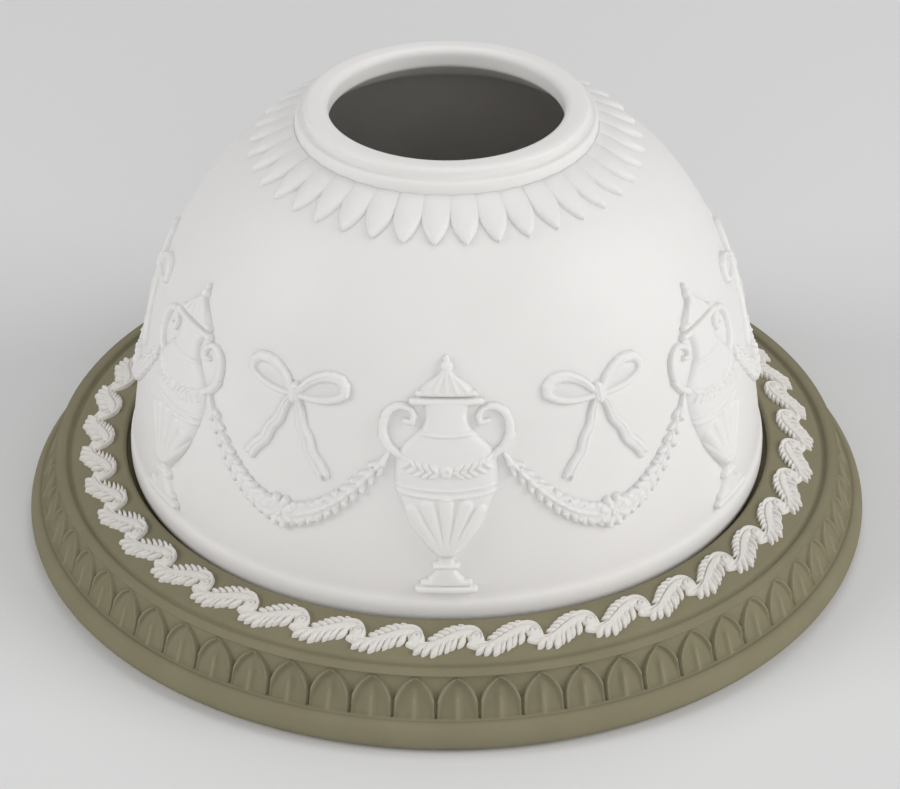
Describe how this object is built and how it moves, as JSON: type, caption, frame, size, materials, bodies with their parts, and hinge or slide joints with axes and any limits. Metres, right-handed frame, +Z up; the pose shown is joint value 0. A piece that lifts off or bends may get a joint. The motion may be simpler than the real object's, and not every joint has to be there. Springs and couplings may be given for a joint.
{
  "type": "votive candle holder",
  "caption": "Round stoneware plate with a running leaf border, an open-topped bisque dome that lifts off it and a tea light inside.",
  "frame": {"origin": "middle of the plate's underside, on the surface that it stands on", "axes": "+Z up through the dome's mouth, -Y towards the front"},
  "size_m": [0.152, 0.152, 0.0805],
  "materials": {
    "sage_stoneware": "matte, unglazed, sage green",
    "white_sprig": "matte, unglazed, white",
    "white_bisque": "smooth satin bisque, white",
    "cup_metal": "thin drawn foil, satin",
    "clip_metal": "tinned",
    "candle_wax": "smooth wax, cream",
    "wick_cotton": "waxed braided cotton"
  },
  "bodies": {
    "plate": {"base_plate": "sage_stoneware", "border_strip_1": "white_sprig", "border_strip_2": "white_sprig", "border_strip_3": "white_sprig", "border_strip_4": "white_sprig", "border_strip_5": "white_sprig", "border_strip_6": "white_sprig", "border_strip_7": "white_sprig", "border_strip_8": "white_sprig"},
    "shade": {"dome_shade": "white_bisque", "collar_strip_1": "white_bisque", "collar_strip_2": "white_bisque", "collar_strip_3": "white_bisque", "collar_strip_4": "white_bisque", "collar_strip_5": "white_bisque", "collar_strip_6": "white_bisque", "collar_strip_7": "white_bisque", "collar_strip_8": "white_bisque", "vase_1": "white_bisque", "garland_1": "white_bisque", "bow_1": "white_bisque", "vase_2": "white_bisque", "garland_2": "white_bisque", "bow_2": "white_bisque", "vase_3": "white_bisque", "garland_3": "white_bisque", "bow_3": "white_bisque", "vase_4": "white_bisque", "garland_4": "white_bisque", "bow_4": "white_bisque", "vase_5": "white_bisque", "garland_5": "white_bisque", "bow_5": "white_bisque", "vase_6": "white_bisque", "garland_6": "white_bisque", "bow_6": "white_bisque"},
    "candle": {"tealight_cup": "cup_metal", "tealight_wax": "candle_wax", "wick_clip": "clip_metal", "wick": "wick_cotton"}
  },
  "joints": [
    {"name": "dome_lift", "type": "slide", "parent": "plate", "child": "shade", "axis": [0, 0, 1], "range_m": [0, 0.07]},
    {"name": "candle_lift", "type": "slide", "parent": "plate", "child": "candle", "axis": [0, 0, 1], "range_m": [0, 0.035]}
  ]
}
